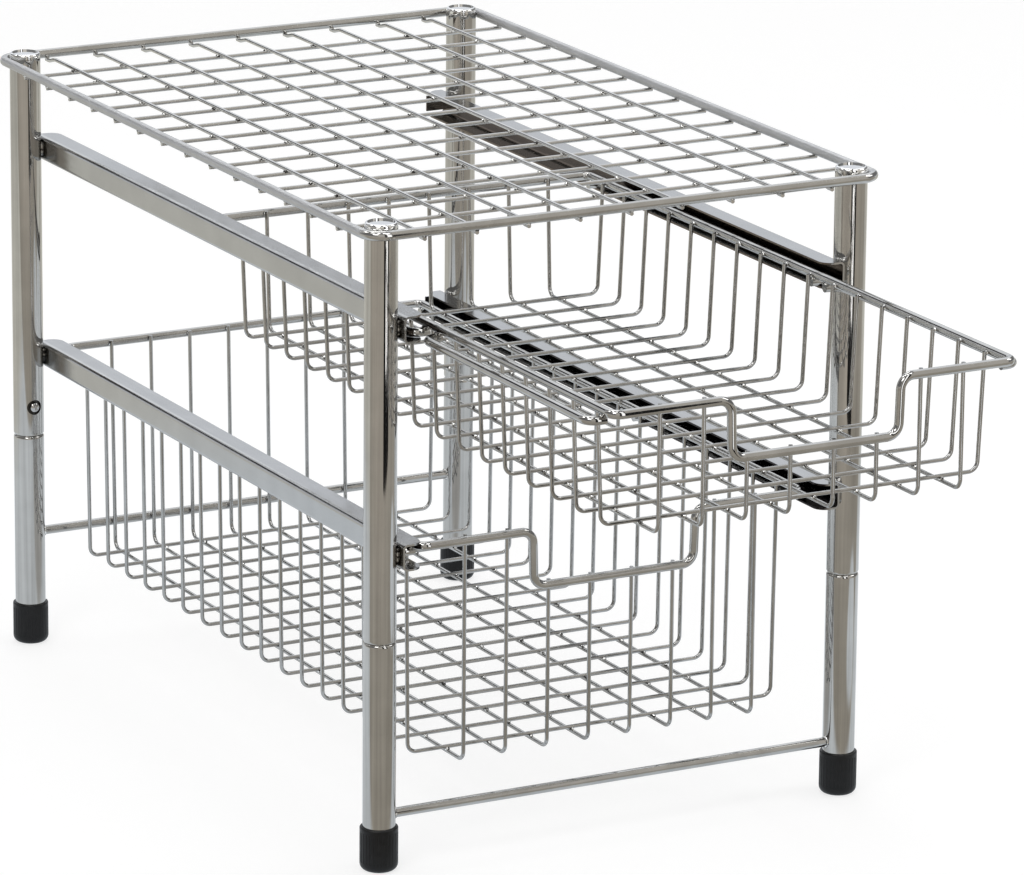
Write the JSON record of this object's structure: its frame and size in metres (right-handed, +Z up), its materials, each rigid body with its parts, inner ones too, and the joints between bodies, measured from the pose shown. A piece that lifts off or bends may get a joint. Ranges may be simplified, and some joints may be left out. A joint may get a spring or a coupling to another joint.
{
  "type": "pull out cabinet basket",
  "caption": "Free-standing two-tier organiser: tube frame with a wire shelf on top and two wire baskets that pull out on rods running in C-shaped rails.",
  "frame": {"origin": "centre of the overall box's underside, on the floor, with the upper basket pulled out as in the picture", "axes": "+Z up, -Y towards the user (the way the baskets pull out), +X to the right seen from the front"},
  "size_m": [0.3518, 0.7578, 0.4],
  "materials": {
    "tube_chrome": "bright chrome plate on steel tube",
    "rod_chrome": "bright chrome plate on steel rod",
    "wire_chrome": "bright chrome plate on steel wire",
    "rail_steel": "satin chrome plate on folded sheet",
    "foot_plastic": "matt black, moulded",
    "button_steel": "bright plate",
    "spring_steel": "plain spring steel"
  },
  "bodies": {
    "frame": {"post_front_left": "tube_chrome", "post_front_right": "tube_chrome", "post_back_left": "tube_chrome", "post_back_right": "tube_chrome", "leg_front_left": "tube_chrome", "leg_front_right": "tube_chrome", "leg_back_left": "tube_chrome", "leg_back_right": "tube_chrome", "foot_front_left": "foot_plastic", "foot_front_right": "foot_plastic", "foot_back_left": "foot_plastic", "foot_back_right": "foot_plastic", "cap_front_left": "tube_chrome", "cap_front_right": "tube_chrome", "cap_back_left": "tube_chrome", "cap_back_right": "tube_chrome", "spring_front_left": "spring_steel", "spring_front_right": "spring_steel", "spring_back_left": "spring_steel", "spring_back_right": "spring_steel", "front_bar": "rod_chrome", "back_bar": "rod_chrome", "rail_upper_left": "rail_steel", "rail_upper_right": "rail_steel", "rail_lower_left": "rail_steel", "rail_lower_right": "rail_steel", "shelf_frame": "rod_chrome", "shelf_cross_wires": "wire_chrome", "shelf_long_wires": "wire_chrome"},
    "upper_basket": {"upper_rim": "rod_chrome", "upper_slide_left": "rod_chrome", "upper_slide_right": "rod_chrome", "upper_cross_wires": "wire_chrome", "upper_long_wires": "wire_chrome"},
    "lower_basket": {"lower_rim": "rod_chrome", "lower_slide_left": "rod_chrome", "lower_slide_right": "rod_chrome", "lower_cross_wires": "wire_chrome", "lower_long_wires": "wire_chrome"},
    "button_front_left": {"button_front_left": "button_steel"},
    "button_front_right": {"button_front_right": "button_steel"},
    "button_back_left": {"button_back_left": "button_steel"},
    "button_back_right": {"button_back_right": "button_steel"}
  },
  "joints": [
    {"name": "upper_basket_slide", "type": "slide", "parent": "frame", "child": "upper_basket", "axis": [0, -1, 0], "range_m": [-0.233, 0.137]},
    {"name": "lower_basket_slide", "type": "slide", "parent": "frame", "child": "lower_basket", "axis": [0, -1, 0], "range_m": [0, 0.37]},
    {"name": "snap_button_front_left", "type": "slide", "parent": "frame", "child": "button_front_left", "axis": [0, -1, 0], "range_m": [0, 0.0032], "stiffness_N_per_m": 900, "springref_m": -0.002, "deforming": ["spring_front_left"]},
    {"name": "snap_button_front_right", "type": "slide", "parent": "frame", "child": "button_front_right", "axis": [0, -1, 0], "range_m": [0, 0.0032], "stiffness_N_per_m": 900, "springref_m": -0.002, "deforming": ["spring_front_right"]},
    {"name": "snap_button_back_left", "type": "slide", "parent": "frame", "child": "button_back_left", "axis": [0, 1, 0], "range_m": [0, 0.0032], "stiffness_N_per_m": 900, "springref_m": -0.002, "deforming": ["spring_back_left"]},
    {"name": "snap_button_back_right", "type": "slide", "parent": "frame", "child": "button_back_right", "axis": [0, 1, 0], "range_m": [0, 0.0032], "stiffness_N_per_m": 900, "springref_m": -0.002, "deforming": ["spring_back_right"]}
  ]
}
